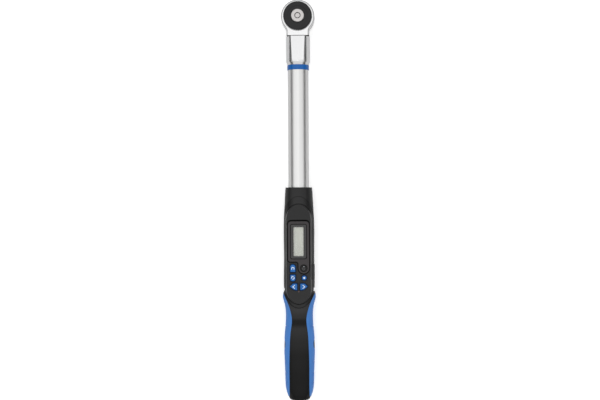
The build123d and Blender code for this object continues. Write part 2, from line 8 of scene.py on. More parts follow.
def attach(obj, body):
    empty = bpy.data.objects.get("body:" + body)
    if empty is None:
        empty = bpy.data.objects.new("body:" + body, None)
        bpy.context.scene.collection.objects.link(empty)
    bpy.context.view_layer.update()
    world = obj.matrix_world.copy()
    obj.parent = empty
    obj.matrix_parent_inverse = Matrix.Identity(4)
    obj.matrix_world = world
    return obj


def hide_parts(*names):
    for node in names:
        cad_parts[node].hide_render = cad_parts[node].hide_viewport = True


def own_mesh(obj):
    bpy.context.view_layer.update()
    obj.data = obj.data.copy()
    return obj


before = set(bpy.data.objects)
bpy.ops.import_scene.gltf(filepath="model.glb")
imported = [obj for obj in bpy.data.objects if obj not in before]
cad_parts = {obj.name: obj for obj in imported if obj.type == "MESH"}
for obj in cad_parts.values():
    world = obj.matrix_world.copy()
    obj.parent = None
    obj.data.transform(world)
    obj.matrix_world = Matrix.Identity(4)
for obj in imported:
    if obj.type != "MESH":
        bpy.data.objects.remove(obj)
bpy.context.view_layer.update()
mm = 0.001          # sizes and places below are in millimetres, unless a note says otherwise
overhead = 0.06     # metres: clear of the wrench, where the rays that find its surface start
print("frame loaded:", len(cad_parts), "nodes")


# shader node groups, built once and shared
def newGroup(name, inputs, outputs):
    tree = bpy.data.node_groups.new(name, "ShaderNodeTree")
    for label, value in inputs:
        socket = tree.interface.new_socket(label, in_out="INPUT", socket_type="NodeSocketFloat")
        socket.default_value = value
    for label in outputs:
        tree.interface.new_socket(label, in_out="OUTPUT", socket_type="NodeSocketFloat")
    entry = tree.nodes.new("NodeGroupInput")
    leave = tree.nodes.new("NodeGroupOutput")
    return tree, entry, leave


def feed(tree, value, socket):
    # a plain number is set on the socket, and anything else is linked to it
    if isinstance(value, (int, float)):
        socket.default_value = value
    else:
        tree.links.new(value, socket)


def mathNode(tree, operation, a, b=0.5):
    node = tree.nodes.new("ShaderNodeMath")
    node.operation = operation
    feed(tree, a, node.inputs[0])
    feed(tree, b, node.inputs[1])
    return node.outputs[0]


def noiseNode(tree, vector, scale, detail, roughness):
    node = tree.nodes.new("ShaderNodeTexNoise")
    node.inputs["Detail"].default_value = detail
    node.inputs["Roughness"].default_value = roughness
    feed(tree, scale, node.inputs["Scale"])
    tree.links.new(vector, node.inputs["Vector"])
    return node.outputs["Fac"]


def objectPoint(tree):
    return tree.nodes.new("ShaderNodeTexCoord").outputs["Object"]


def scaledPoint(tree, factors):
    node = tree.nodes.new("ShaderNodeMapping")
    node.inputs["Scale"].default_value = factors
    tree.links.new(objectPoint(tree), node.inputs["Vector"])
    return node.outputs["Vector"]


def splitVector(tree, vector):
    node = tree.nodes.new("ShaderNodeSeparateXYZ")
    tree.links.new(vector, node.inputs[0])
    return node.outputs


def buildMouldGrain():
    # fine spark-eroded texture of a moulded face, with broad soft sheen changes
    tree, entry, leave = newGroup("mouldGrain", [("Grain", 2600.0), ("Patch", 40.0)], ["Height", "Sheen"])
    point = objectPoint(tree)
    fine = noiseNode(tree, point, entry.outputs["Grain"], detail=2.0, roughness=0.6)
    broad = noiseNode(tree, point, entry.outputs["Patch"], detail=3.0, roughness=0.5)
    tree.links.new(fine, leave.inputs["Height"])
    tree.links.new(broad, leave.inputs["Sheen"])
    return tree


def buildTurnedLines():
    # marks of a lathe or polishing belt that run round the Y axis
    tree, entry, leave = newGroup("turnedLines", [("Density", 900.0), ("Waver", 6.0)], ["Line", "Smear"])
    point = splitVector(tree, objectPoint(tree))
    along = mathNode(tree, "MULTIPLY", point["Y"], entry.outputs["Density"])
    join = tree.nodes.new("ShaderNodeCombineXYZ")
    tree.links.new(along, join.inputs["Y"])
    for axis in ("X", "Z"):
        across = mathNode(tree, "MULTIPLY", point[axis], entry.outputs["Waver"])
        tree.links.new(across, join.inputs[axis])
    line = noiseNode(tree, join.outputs[0], 1.0, detail=4.0, roughness=0.7)
    smear = noiseNode(tree, objectPoint(tree), 22.0, detail=4.0, roughness=0.6)
    tree.links.new(line, leave.inputs["Line"])
    tree.links.new(smear, leave.inputs["Smear"])
    return tree


def buildHandling():
    # faint scuffs and finger marks, drawn out along the handle, as a mask
    sizes = [("Size", 70.0), ("Cut", 0.6), ("Contrast", 5.0)]
    tree, entry, leave = newGroup("handlingMarks", sizes, ["Mask"])
    point = scaledPoint(tree, (1.0, 0.35, 1.0))
    marks = noiseNode(tree, point, entry.outputs["Size"], detail=6.0, roughness=0.7)
    over = mathNode(tree, "SUBTRACT", marks, entry.outputs["Cut"])
    mask = mathNode(tree, "MULTIPLY", over, entry.outputs["Contrast"])
    mask = mathNode(tree, "MINIMUM", mathNode(tree, "MAXIMUM", mask, 0.0), 1.0)
    tree.links.new(mask, leave.inputs["Mask"])
    return tree


groups = {"grain": buildMouldGrain(), "turned": buildTurnedLines(), "marks": buildHandling()}
print("shader groups ready:", ", ".join(groups))


# what a look has where it doesn't say otherwise
plainLook = {"metal": 0.0, "specular": 0.5, "coat": 0.0, "coatRough": 0.1}
mouldBase = {"grain": 2600.0, "patch": 40.0, "spread": 0.06, "cut": 0.62, "polish": 0.05,
             "darkest": 0.9, "lightest": 1.12, "depth": 0.00004}
turnBase = {"metal": 1.0, "waver": 6.0, "under": 0.05, "over": 0.06, "smear": 0.05,
            "darkest": 0.93, "depth": 0.00001}
noiseSpan = (0.3, 0.7)          # nearly all of a noise texture's values lie between these


def startMaterial(name, look):
    look = {**plainLook, **look}
    material = bpy.data.materials.new(name)
    material.use_nodes = True
    tree = material.node_tree
    shader = tree.nodes["Principled BSDF"]
    shader.inputs["Base Color"].default_value = (*look["color"], 1.0)
    shader.inputs["Roughness"].default_value = look["rough"]
    shader.inputs["Metallic"].default_value = look["metal"]
    shader.inputs["Specular IOR Level"].default_value = look["specular"]
    shader.inputs["Coat Weight"].default_value = look["coat"]
    shader.inputs["Coat Roughness"].default_value = look["coatRough"]
    return material, tree, shader


def placeGroup(tree, key, values):
    node = tree.nodes.new("ShaderNodeGroup")
    node.node_tree = groups[key]
    for label, value in values.items():
        node.inputs[label].default_value = value
    return node


def colorMix(tree, mask, dark, light):
    node = tree.nodes.new("ShaderNodeMix")
    node.data_type = "RGBA"
    node.inputs["A"].default_value = (*dark, 1.0)
    node.inputs["B"].default_value = (*light, 1.0)
    tree.links.new(mask, node.inputs["Factor"])
    return node.outputs["Result"]


def rangeOf(tree, value, low, high):
    # spreads a noise between two values
    node = tree.nodes.new("ShaderNodeMapRange")
    node.inputs["From Min"].default_value = noiseSpan[0]
    node.inputs["From Max"].default_value = noiseSpan[1]
    node.inputs["To Min"].default_value = low
    node.inputs["To Max"].default_value = high
    tree.links.new(value, node.inputs["Value"])
    return node.outputs["Result"]


def addBump(tree, shader, height, depth, strength):
    node = tree.nodes.new("ShaderNodeBump")
    node.inputs["Distance"].default_value = depth
    node.inputs["Strength"].default_value = strength
    tree.links.new(height, node.inputs["Height"])
    tree.links.new(node.outputs["Normal"], shader.inputs["Normal"])


def mouldedFinish(name, look):
    # moulded grain, a sheen that wanders, and handled places that are a little shinier
    look = {**mouldBase, **look}
    material, tree, shader = startMaterial(name, look)
    grain = placeGroup(tree, "grain", {"Grain": look["grain"], "Patch": look["patch"]})
    marks = placeGroup(tree, "marks", {"Cut": look["cut"]})
    sheen = grain.outputs["Sheen"]
    rough = rangeOf(tree, sheen, look["rough"] - look["spread"], look["rough"] + look["spread"])
    polish = mathNode(tree, "MULTIPLY", marks.outputs["Mask"], look["polish"])
    tree.links.new(mathNode(tree, "SUBTRACT", rough, polish), shader.inputs["Roughness"])
    dark = tuple(c * look["darkest"] for c in look["color"])
    light = tuple(min(1.0, c * look["lightest"]) for c in look["color"])
    tree.links.new(colorMix(tree, sheen, dark, light), shader.inputs["Base Color"])
    addBump(tree, shader, grain.outputs["Height"], look["depth"], look["bump"])
    return material


def turnedFinish(name, look):
    # fine lines round the wrench's length, with smears between them
    look = {**turnBase, **look}
    material, tree, shader = startMaterial(name, look)
    lines = placeGroup(tree, "turned", {"Density": look["density"], "Waver": look["waver"]})
    line = lines.outputs["Line"]
    rough = rangeOf(tree, line, look["rough"] - look["under"], look["rough"] + look["over"])
    smear = mathNode(tree, "MULTIPLY", lines.outputs["Smear"], look["smear"])
    tree.links.new(mathNode(tree, "ADD", rough, smear), shader.inputs["Roughness"])
    dark = tuple(c * look["darkest"] for c in look["color"])
    tree.links.new(colorMix(tree, line, dark, look["color"]), shader.inputs["Base Color"])
    addBump(tree, shader, line, look["depth"], look["bump"])
    return material


def paint(node, material):
    # gives a CAD piece its finish without touching its shape
    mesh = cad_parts[node].data
    mesh.materials.clear()
    mesh.materials.append(material)
    for polygon in mesh.polygons:
        polygon.material_index = 0


def addObject(name, data):
    obj = bpy.data.objects.new(name, data)
    bpy.context.scene.collection.objects.link(obj)
    return obj


def addPiece(name, mesh, body, material):
    # puts a finished mesh in the scene, on the body that it moves with
    obj = addObject(name, mesh)
    mesh.materials.clear()
    mesh.materials.append(material)
    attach(obj, body)
    return obj


def flatRegions(work, tolerance=0.99999):
    # numbers the faces by the flat area they belong to, and sums each area's size
    region, sizes = [-1] * len(work.faces), []
    for seed in work.faces:
        if region[seed.index] >= 0:
            continue
        key = len(sizes)
        region[seed.index] = key
        total, queue = 0.0, [seed]
        while queue:
            face = queue.pop()
            total += face.calc_area()
            for edge in face.edges:
                for other in edge.link_faces:
                    if region[other.index] < 0 and other.normal.dot(seed.normal) > tolerance:
                        region[other.index] = key
                        queue.append(other)
        sizes.append(total)
    return region, sizes


broadFlat = 0.00015     # square metres: round a larger flat, crisp is the angle that splits an edge


def evenNormals(mesh, work, angle, crisp):
    # a flat area keeps its own direction up to its rim, and a curved one blends across its facets
    region, sizes = flatRegions(work)
    limit = math.cos(math.radians(angle))
    crispLimit = math.cos(math.radians(crisp))
    normals = [None] * len(mesh.loops)
    for vertex in work.verts:
        waiting = {face.index: face for face in vertex.link_faces}
        while waiting:
            fan, queue = [], [waiting.popitem()[1]]
            while queue:
                face = queue.pop()
                fan.append(face)
                for edge in face.edges:
                    if vertex not in edge.verts or len(edge.link_faces) != 2:
                        continue
                    other = edge.link_faces[0] if edge.link_faces[1] is face else edge.link_faces[1]
                    large = max(sizes[region[face.index]], sizes[region[other.index]]) > broadFlat
                    bound = crispLimit if large else limit
                    if other.index in waiting and other.normal.dot(face.normal) > bound:
                        queue.append(waiting.pop(other.index))
            total = Vector((0.0, 0.0, 0.0))
            corners = [next(loop for loop in face.loops if loop.vert is vertex) for face in fan]
            for face, corner in zip(fan, corners):
                total += face.normal * (sizes[region[face.index]] * corner.calc_angle())
            total = total.normalized() if total.length > 0 else vertex.normal
            for corner in corners:
                normals[corner.index] = total
    mesh.normals_split_custom_set(normals)


def skinName(node):
    first, *rest = node.split("_")
    return first + "".join(word.title() for word in rest) + "Skin"


edgeAngle = 24.0        # degrees: a sharper edge than this stays an edge
weldGap = 0.000002      # metres


def smoothSkin(node, name, body, material, angle=edgeAngle, crisp=edgeAngle):
    # same surface as the solid, with welded points and smooth shading between its sharp edges
    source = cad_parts[node]
    mesh = source.data.copy()
    mesh.transform(source.matrix_world)
    work = bmesh.new()
    work.from_mesh(mesh)
    bmesh.ops.remove_doubles(work, verts=work.verts, dist=weldGap)
    work.normal_update()
    work.to_mesh(mesh)
    mesh.name = name
    mesh.shade_smooth()
    mesh.set_sharp_from_angle(angle=math.radians(angle))
    for polygon in mesh.polygons:
        polygon.material_index = 0
    work.faces.index_update()
    corners = [loop for face in work.faces for loop in face.loops]
    for count, loop in enumerate(corners):
        loop.index = count
    evenNormals(mesh, work, angle, crisp)
    work.free()
    obj = addPiece(name, mesh, body, material)
    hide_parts(node)
    return obj


def closeMesh(work, name, sharp=None):
    # mesh with its faces outwards, and smooth up to the sharp angle where one is given
    bmesh.ops.recalc_face_normals(work, faces=work.faces)
    mesh = bpy.data.meshes.new(name)
    work.to_mesh(mesh)
    work.free()
    if sharp:
        mesh.shade_smooth()
        mesh.set_sharp_from_angle(angle=math.radians(sharp))
    return mesh


def thicken(work, shift):
    # gives an open sheet its other side, moved by shift (metres)
    made = bmesh.ops.extrude_face_region(work, geom=work.faces[:])["geom"]
    moved = [v for v in made if isinstance(v, bmesh.types.BMVert)]
    bmesh.ops.translate(work, verts=moved, vec=shift)


def prismMesh(name, loops, low, high):
    # straight-sided plates from plan outlines, one loop of points each
    work = bmesh.new()
    for loop in loops:
        bottom = [work.verts.new((x * mm, y * mm, low * mm)) for x, y in loop]
        top = [work.verts.new((x * mm, y * mm, high * mm)) for x, y in loop]
        work.faces.new(top)
        work.faces.new(list(reversed(bottom)))
        for i in range(len(loop)):
            j = (i + 1) % len(loop)
            work.faces.new((bottom[i], bottom[j], top[j], top[i]))
    return closeMesh(work, name)


def latheMesh(name, profile, steps=96, cap=None):
    # closed (radius, height) profile turned about Z, and cut flat at +cap and -cap across Y if given
    work = bmesh.new()
    rings = []
    for i in range(steps):
        turn = 2 * math.pi * i / steps
        ring = []
        for radius, height in profile:
            x, y = radius * math.cos(turn), radius * math.sin(turn)
            if cap:
                y = max(-cap, min(cap, y))
            ring.append(work.verts.new((x * mm, y * mm, height * mm)))
        rings.append(ring)
    for i in range(steps):
        first, second = rings[i], rings[(i + 1) % steps]
        for k in range(len(profile)):
            j = (k + 1) % len(profile)
            work.faces.new((first[k], second[k], second[j], first[j]))
    return closeMesh(work, name, sharp=30)


def strokeLoop(path, width, mitre=0.45):
    # outline of a pen stroke of even width along an open path; mitre is the least cosine at a corner
    left, right = [], []
    for i, point in enumerate(path):
        before = Vector(path[max(i - 1, 0)])
        after = Vector(path[min(i + 1, len(path) - 1)])
        here = Vector(point)
        inward = (here - before).normalized() if i > 0 else (after - here).normalized()
        outward = (after - here).normalized() if i < len(path) - 1 else inward
        run = (inward + outward).normalized()
        side = Vector((-run.y, run.x)) * (width / 2 / max(mitre, run.dot(inward)))
        left.append(tuple(here + side))
        right.append(tuple(here - side))
    return left + right[::-1]


def arcPath(center, radius, start, end, steps):
    # points along an arc, between two angles in degrees
    turn = [math.radians(start + (end - start) * i / steps) for i in range(steps + 1)]
    return [(center[0] + radius * math.cos(a), center[1] + radius * math.sin(a)) for a in turn]


def roundedLoop(middle, look, steps=6):
    # rectangle with round corners, across the wrench's centre line at Y = middle
    width, height = look["size"]
    loop = []
    for sx, sy, start in ((1, 1, 0), (-1, 1, 90), (-1, -1, 180), (1, -1, 270)):
        corner = (sx * (width / 2 - look["corner"]), middle + sy * (height / 2 - look["corner"]))
        loop += arcPath(corner, look["corner"], start, start + 90, steps)
    return loop


def frameMesh(name, outer, inner, low, high):
    # flat frame between two loops that have the same number of points
    work = bmesh.new()
    rings = []
    for loop, z in ((outer, low), (outer, high), (inner, high), (inner, low)):
        rings.append([work.verts.new((x * mm, y * mm, z * mm)) for x, y in loop])
    for k in range(4):
        first, second = rings[k], rings[(k + 1) % 4]
        for i in range(len(outer)):
            j = (i + 1) % len(outer)
            work.faces.new((first[i], first[j], second[j], second[i]))
    return closeMesh(work, name)


# steel: head, collar, tube and the small pieces inside
steelLook = {
    "forging": {"color": (0.70, 0.70, 0.705), "rough": 0.20, "density": 300.0, "bump": 0.10},
    "collar": {"color": (0.66, 0.66, 0.665), "rough": 0.17, "density": 500.0, "bump": 0.12},
    "tube": {"color": (0.68, 0.68, 0.675), "rough": 0.29, "density": 2200.0, "bump": 0.30},
    "hard": {"color": (0.40, 0.41, 0.43), "rough": 0.34, "density": 900.0, "bump": 0.25},
    "stem": {"color": (0.56, 0.54, 0.535), "rough": 0.40, "density": 900.0, "bump": 0.2},
    "blackened": {"color": (0.045, 0.045, 0.047), "rough": 0.40, "density": 900.0, "bump": 0.1},
    "plated": {"color": (0.72, 0.58, 0.28), "rough": 0.28, "density": 900.0, "bump": 0.1},
}
steel = {key: turnedFinish(key + "Steel", look) for key, look in steelLook.items()}

steelSkins = {
    "head_forging": ("frame", "forging", "polished_steel"),
    "collar": ("frame", "collar", "polished_steel"),
    "lever_tube": ("frame", "tube", "satin_steel"),
    "drive_rotor": ("rotor", "stem", "polished_steel"),
    "socket_ball": ("retaining_ball", "hard", "hardened_steel"),
    "release_button": ("release", "stem", "satin_steel"),
}
for node, (body, finish, slot) in steelSkins.items():
    smoothSkin(node, skinName(node), body, steel[finish])
paint("housing_screws", steel["blackened"])
for node in ("retaining_ring", "collar_pins", "cover_plate", "pawl_pin",
             "detent_ball", "detent_spring", "cam_finger", "pawl", "release_rod"):
    paint(node, steel["hard"])
for node in ("strain_gauges", "snap_domes", "port_socket", "front_contact", "cap_spring"):
    paint(node, steel["plated"])
paint("sensing_beam", steel["tube"])

# the release spring: smooth between its creases, on a mesh of its own that rides on the rotor
springLook = {"seat": 5.0, "keep": 0.46, "crease": 60.0}
springBody = smoothSkin("release_spring", "releaseSpringSkin", "rotor", steel["hard"],
                        angle=springLook["crease"], crisp=springLook["crease"])
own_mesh(springBody)

# thin plates that close the collar's two milled flats over the tube's seat; front and back are the
# (Y, height) of a flat's ends, and span is the Y that a plate covers
plateLook = {"front": (-26.8, 13.0), "back": (-58.7, 14.0), "span": (-46.0, -53.6), "half": 3.2,
             "lift": 0.015, "thick": 0.35}


def collarPlates(name, look):
    (frontY, frontZ), (backY, backZ) = look["front"], look["back"]
    ends = [(y, frontZ + (backZ - frontZ) * (frontY - y) / (frontY - backY)) for y in look["span"]]
    work = bmesh.new()
    for side in (1, -1):
        rings = []
        for depth in (look["lift"], look["lift"] - look["thick"]):
            (nearY, nearZ), (farY, farZ) = ends
            corners = [(-look["half"], nearY, nearZ), (look["half"], nearY, nearZ),
                       (look["half"], farY, farZ), (-look["half"], farY, farZ)]
            rings.append([work.verts.new((x * mm, y * mm, side * (z + depth) * mm)) for x, y, z in corners])
        top, base = rings
        work.faces.new(top)
        work.faces.new(base[::-1])
        for i in range(4):
            j = (i + 1) % 4
            work.faces.new((top[i], base[i], base[j], top[j]))
    return closeMesh(work, name)


plateMesh = collarPlates("collarFlatPlates", plateLook)
addPiece("collarFlatPlates", plateMesh, "frame", steel["collar"])
print("steel pieces dressed")

# black and blue mouldings, the rubber and the small inner pieces
mouldLook = {
    "housing": {"color": (0.0100, 0.0100, 0.0103), "rough": 0.40, "specular": 0.31, "grain": 1900.0,
                "bump": 0.30},
    "panel": {"color": (0.030, 0.025, 0.027), "rough": 0.28, "specular": 0.32, "bump": 0.12},
    "dial": {"color": (0.008, 0.008, 0.009), "rough": 0.34, "specular": 0.3, "grain": 2400.0, "bump": 0.2},
    "core": {"color": (0.012, 0.012, 0.0125), "rough": 0.46, "specular": 0.15, "grain": 1500.0,
             "bump": 0.35},
    "ring": {"color": (0.0040, 0.108, 0.400), "rough": 0.25, "specular": 0.3, "bump": 0.05},
    "grip": {"color": (0.058, 0.216, 0.600), "rough": 0.52, "specular": 0.35, "grain": 1300.0,
             "bump": 0.40},
    "seal": {"color": (0.012, 0.012, 0.013), "rough": 0.60, "specular": 0.22, "grain": 1500.0, "bump": 0.2},
    "cover": {"color": (0.017, 0.017, 0.0175), "rough": 0.50, "specular": 0.26, "grain": 1500.0,
              "bump": 0.3},
    "disc": {"color": (0.010, 0.010, 0.011), "rough": 0.50, "specular": 0.22, "grain": 1500.0, "bump": 0.3},
    "natural": {"color": (0.62, 0.60, 0.54), "rough": 0.50, "grain": 1200.0, "bump": 0.15},
    "board": {"color": (0.015, 0.12, 0.05), "rough": 0.35, "grain": 1200.0, "bump": 0.10},
    "cell": {"color": (0.05, 0.06, 0.10), "rough": 0.30, "grain": 900.0, "bump": 0.05},
    "lcd": {"color": (0.515, 0.522, 0.455), "rough": 0.45, "specular": 0.3, "grain": 900.0,
            "spread": 0.03, "bump": 0.05},
    "print": {"color": (0.012, 0.011, 0.012), "rough": 0.16, "spread": 0.02, "bump": 0.02},
    "lamp": {"color": (0.055, 0.010, 0.010), "rough": 0.20, "coat": 0.5, "bump": 0.02},
    # lighter grey for the lens rim: a painted highlight on its rounded edge
    "rim": {"color": (0.055, 0.052, 0.053), "rough": 0.22, "specular": 0.45, "spread": 0.02, "bump": 0.02},
    # black for the strips that paint the shade in joints, recesses and gaps
    "line": {"color": (0.002, 0.002, 0.002), "rough": 0.8, "specular": 0.05, "grain": 1500.0, "bump": 0.1},
    "icon": {"color": (0.80, 0.88, 1.0), "rough": 0.40, "spread": 0.03, "bump": 0.05},
    "switch": {"color": (0.0070, 0.0062, 0.0065), "rough": 0.30, "specular": 0.20, "bump": 0.12},
    "ghost": {"color": (0.048, 0.048, 0.052), "rough": 0.35, "spread": 0.03, "bump": 0.05},
}
mould = {key: mouldedFinish(key + "Plastic", look) for key, look in mouldLook.items()}

# painted shade and light on the handle's black strip, darkest over the thumb dip: share of the way from one
# Y to the other, and how light it is there
coreShadeTone = {"from": -390.0, "to": -492.0, "blue": 1.03,
            "stops": [(0.0, 0.037), (0.10, 0.024), (0.155, 0.006), (0.185, 0.005), (0.26, 0.024),
                      (0.45, 0.014), (0.62, 0.007), (1.0, 0.005)]}


def paintedShadeAlong(material, look):
    # painted shade and light along the handle: the rubber's tone is set by the place along it
    tree = material.node_tree
    shader = tree.nodes["Principled BSDF"]
    point = splitVector(tree, objectPoint(tree))
    place = tree.nodes.new("ShaderNodeMapRange")
    place.inputs["From Min"].default_value = look["from"] * mm
    place.inputs["From Max"].default_value = look["to"] * mm
    tree.links.new(point["Y"], place.inputs["Value"])
    ramp = tree.nodes.new("ShaderNodeValToRGB")
    ramp.color_ramp.interpolation = "EASE"
    while len(ramp.color_ramp.elements) < len(look["stops"]):
        ramp.color_ramp.elements.new(0.5)
    for element, (spot, tone) in zip(ramp.color_ramp.elements, look["stops"]):
        element.position = spot
        element.color = (tone, tone, tone * look["blue"], 1.0)
    tree.links.new(place.outputs["Result"], ramp.inputs["Fac"])
    tree.links.new(ramp.outputs["Color"], shader.inputs["Base Color"])


paintedShadeAlong(mould["core"], coreShadeTone)
mouldSkins = {
    "trim_ring": ("frame", "ring", "blue_polymer"),
    "reverse_dial": ("dial", "dial", "black_polymer"),
    "housing_upper": ("frame", "housing", "black_polymer"),
    "housing_lower": ("frame", "housing", "black_polymer"),
    "face_panel": ("frame", "panel", "panel_polymer"),
    "handle_core": ("frame", "core", "black_core"),
    "grip_left": ("frame", "grip", "blue_elastomer"),
    "grip_right": ("frame", "grip", "blue_elastomer"),
    "grip_discs": ("frame", "disc", "black_elastomer"),
    "battery_cap": ("end_cap", "core", "black_core"),
    "port_cover": ("port_flap", "cover", "black_elastomer"),
}
podCrisp = 6.0      # degrees: the pod's flanks meet the barrel at a shallow angle that still has to show
for node, (body, finish, slot) in mouldSkins.items():
    crisp = podCrisp if node == "housing_upper" else edgeAngle
    smoothSkin(node, skinName(node), body, mould[finish], crisp=crisp)
smoothSkin("key_power", "powerKeySkin", "power_key", mould["switch"])
innerPieces = {
    "seal": ("gauge_cable", "cap_seal"),
    "dial": ("buzzer", "dial_clip"),
    "natural": ("battery_sleeve", "bayonet_ring", "keypad_mat"),
    "board": ("circuit_board",),
    "cell": ("cells",),
    "lcd": ("lcd_module",),
    "lamp": ("status_lamp",),
}
for key, nodes in innerPieces.items():
    for node in nodes:
        paint(node, mould[key])

# dark ring, painted shade in the open joint behind the head: (radius, Y) turned about the tube, cut flush
# with the flats
neckShadeLook = {"profile": [(12.6, -25.65), (15.12, -25.65), (15.12, -25.96), (15.6, -26.46), (12.6, -26.46)],
            "flat": 13.03}
neckShadeMesh = latheMesh("neckSeal", neckShadeLook["profile"], cap=neckShadeLook["flat"])
neckShadeMesh.transform(Matrix.Rotation(math.radians(-90), 4, "X"))
addPiece("neckSeal", neckShadeMesh, "frame", mould["cover"])

# flat ring over the dish in the dial's top: (radius, height)
coverLook = [(9.0, 14.86), (13.5, 14.86), (13.5, 15.06), (13.3, 15.16), (9.2, 15.16), (9.0, 15.06)]
addPiece("dialCover", latheMesh("dialCover", coverLook), "dial", mould["dial"])
print("mouldings dressed")

# keys: skirt from the solid painted dark navy as the shade on the key's sides and rim, bright crowned pad
# on top
keyLook = {"inset": 0.95, "base": 22.2, "top": 22.62, "wall": 0.3, "shoulder": 0.10, "crown": 0.38,
           "crease": 50.0}
keyColor = {
    "pad": {"color": (0.004, 0.125, 0.430), "rough": 0.30, "specular": 0.30, "coat": 0.15,
            "grain": 2200.0, "spread": 0.04, "bump": 0.10},
    "shadedSkirt": {"color": (0.0015, 0.015, 0.060), "rough": 0.40, "specular": 0.15, "grain": 2200.0,
              "bump": 0.10},
}
padPlastic = mouldedFinish("keyPadPlastic", keyColor["pad"])
shadedSkirtPlastic = mouldedFinish("keyShadedSkirtPlastic", keyColor["shadedSkirt"])


def insetLoop(loop, gap, mitre=0.5):
    # counter-clockwise outline moved inwards by an even gap
    moved = []
    count = len(loop)
    for i, point in enumerate(loop):
        here = Vector(point)
        first = (here - Vector(loop[i - 1])).normalized()
        second = (Vector(loop[(i + 1) % count]) - here).normalized()
        run = (first + second).normalized()
        side = Vector((-run.y, run.x)) * (gap / max(mitre, run.dot(first)))
        moved.append(tuple(here + side))
    return moved


def padMesh(name, loop, look):
    # crowned plate: side wall, then a rounded shoulder rising to a flat centre
    work = bmesh.new()
    rings = []
    steps = ((0.0, look["base"]), (0.0, look["top"] - look["wall"]),
             (look["shoulder"], look["top"] - look["shoulder"]), (look["crown"], look["top"]))
    for gap, z in steps:
        rings.append([work.verts.new((x * mm, y * mm, z * mm)) for x, y in insetLoop(loop, gap)])
    for k in range(len(rings) - 1):
        for i in range(len(loop)):
            j = (i + 1) % len(loop)
            work.faces.new((rings[k][i], rings[k][j], rings[k + 1][j], rings[k + 1][i]))
    work.faces.new(rings[-1])
    work.faces.new(rings[0][::-1])
    return closeMesh(work, name, sharp=look["crease"])


def cornerLoop(points, radii, steps=5):
    # closed outline with a rounded corner at each point, counter-clockwise
    loop = []
    count = len(points)
    for i, point in enumerate(points):
        here = Vector(point)
        before = (Vector(points[i - 1]) - here).normalized()
        after = (Vector(points[(i + 1) % count]) - here).normalized()
        half = before.angle(after) / 2
        reach = radii[i] / math.tan(half)
        center = here + (before + after).normalized() * (radii[i] / math.sin(half))
        start, end = here + before * reach - center, here + after * reach - center
        turn = start.angle_signed(end)
        for k in range(steps + 1):
            swing = Matrix.Rotation(-turn * k / steps, 2)
            loop.append(tuple(center + swing @ start))
    return loop


def boxCorners(look):
    (left, right), (back, front) = look["across"], look["along"]
    return [(left, back), (right, back), (right, front), (left, front)]


# plans of the keys, counter-clockwise from the corner nearest the grip, with each corner's radius
keyPlans = {
    "menu": {"across": (-11.9, -3.5), "along": (-340.8, -329.3), "radii": [0.8, 0.8, 2.8, 2.8]},
    "unit": {"across": (-11.9, -3.5), "along": (-353.0, -342.7), "radii": [2.8, 2.8, 0.8, 0.8]},
    "round": {"middle": (7.3, -347.8), "radius": 4.0},
    "back": {"corners": [(-1.2, -364.9), (-1.2, -354.4), (-7.8, -354.4), (-12.3, -358.2), (-12.0, -360.2),
                         (-7.2, -364.0), (-3.4, -364.9)],
             "radii": [0.7, 0.7, 0.7, 0.5, 0.5, 0.7, 0.3]},
}
keyPads = {}
for key in ("menu", "unit"):
    plan = keyPlans[key]
    keyPads[key] = cornerLoop(insetLoop(boxCorners(plan), keyLook["inset"]), plan["radii"])
plan = keyPlans["round"]
keyPads["round"] = arcPath(plan["middle"], plan["radius"] - keyLook["inset"], 0, 350, 35)
plan = keyPlans["back"]
keyPads["back"] = cornerLoop(insetLoop(plan["corners"], keyLook["inset"]), plan["radii"])
keyPads["forward"] = [(-x, y) for x, y in keyPads["back"][::-1]]
for key, outline in keyPads.items():
    smoothSkin("key_" + key, key + "KeySkirt", key + "_key", shadedSkirtPlastic)
    padBody = padMesh(key + "KeyPad", outline, keyLook)
    addPiece(key + "KeyPad", padBody, key + "_key", padPlastic)

# raised icons: a pen width and two heights, then each icon's centre and sizes; the light dot on the power
# key is a painted highlight
iconLook = {
    "pen": 0.8, "low": 22.55, "high": 22.70,
    "hook": {"center": (-7.7, -335.2), "radius": 1.5, "leg": -336.8},
    "cycle": {"center": (-7.7, -347.6), "radius": 1.75, "arcs": ((60, 205), (240, 385))},
    "dot": {"center": (7.3, -347.8), "radius": 1.25},
    "chevron": {"near": 5.2, "tip": 7.9, "along": (-357.3, -359.6, -361.9)},
    "power": {"center": (6.5, -335.6), "radius": 1.7, "arc": (125, 415), "bar": (-335.4, -333.7),
              "low": 22.44, "high": 22.53},
    "glint": {"center": (7.1, -333.0), "radius": 0.42, "low": 22.46, "high": 22.62},
}


def addIcon(name, loops, body, look=iconLook, finish="icon"):
    addPiece(name, prismMesh(name, loops, look["low"], look["high"]), body, mould[finish])


def penLoops(*paths):
    return [strokeLoop(path, iconLook["pen"]) for path in paths]


look = iconLook["hook"]
bend = arcPath(look["center"], look["radius"], 180, 0, 14)
legs = [(look["center"][0] + side * look["radius"], look["leg"]) for side in (-1, 1)]
addIcon("menuIcon", penLoops([legs[0]] + bend + [legs[1]]), "menu_key")
look = iconLook["cycle"]
halves = [arcPath(look["center"], look["radius"], start, end, 14) for start, end in look["arcs"]]
addIcon("unitIcon", penLoops(*halves), "unit_key")
look = iconLook["dot"]
addIcon("roundIcon", [arcPath(look["center"], look["radius"], 0, 345, 23)], "round_key")
look = iconLook["chevron"]
for side, key in ((-1, "back"), (1, "forward")):
    chevron = [(side * x, y) for x, y in zip((look["near"], look["tip"], look["near"]), look["along"])]
    addIcon(key + "Icon", penLoops(chevron), key + "_key")
look = iconLook["power"]
circle = arcPath(look["center"], look["radius"], *look["arc"], 24)
bar = [(look["center"][0], y) for y in look["bar"]]
addIcon("powerIcon", penLoops(circle, bar), "power_key", look, "ghost")
# a light dot on the power key, a painted highlight
look = iconLook["glint"]
addIcon("powerDot", [arcPath(look["center"], look["radius"], 0, 340, 17)], "power_key", look)
print("keys and icons built")
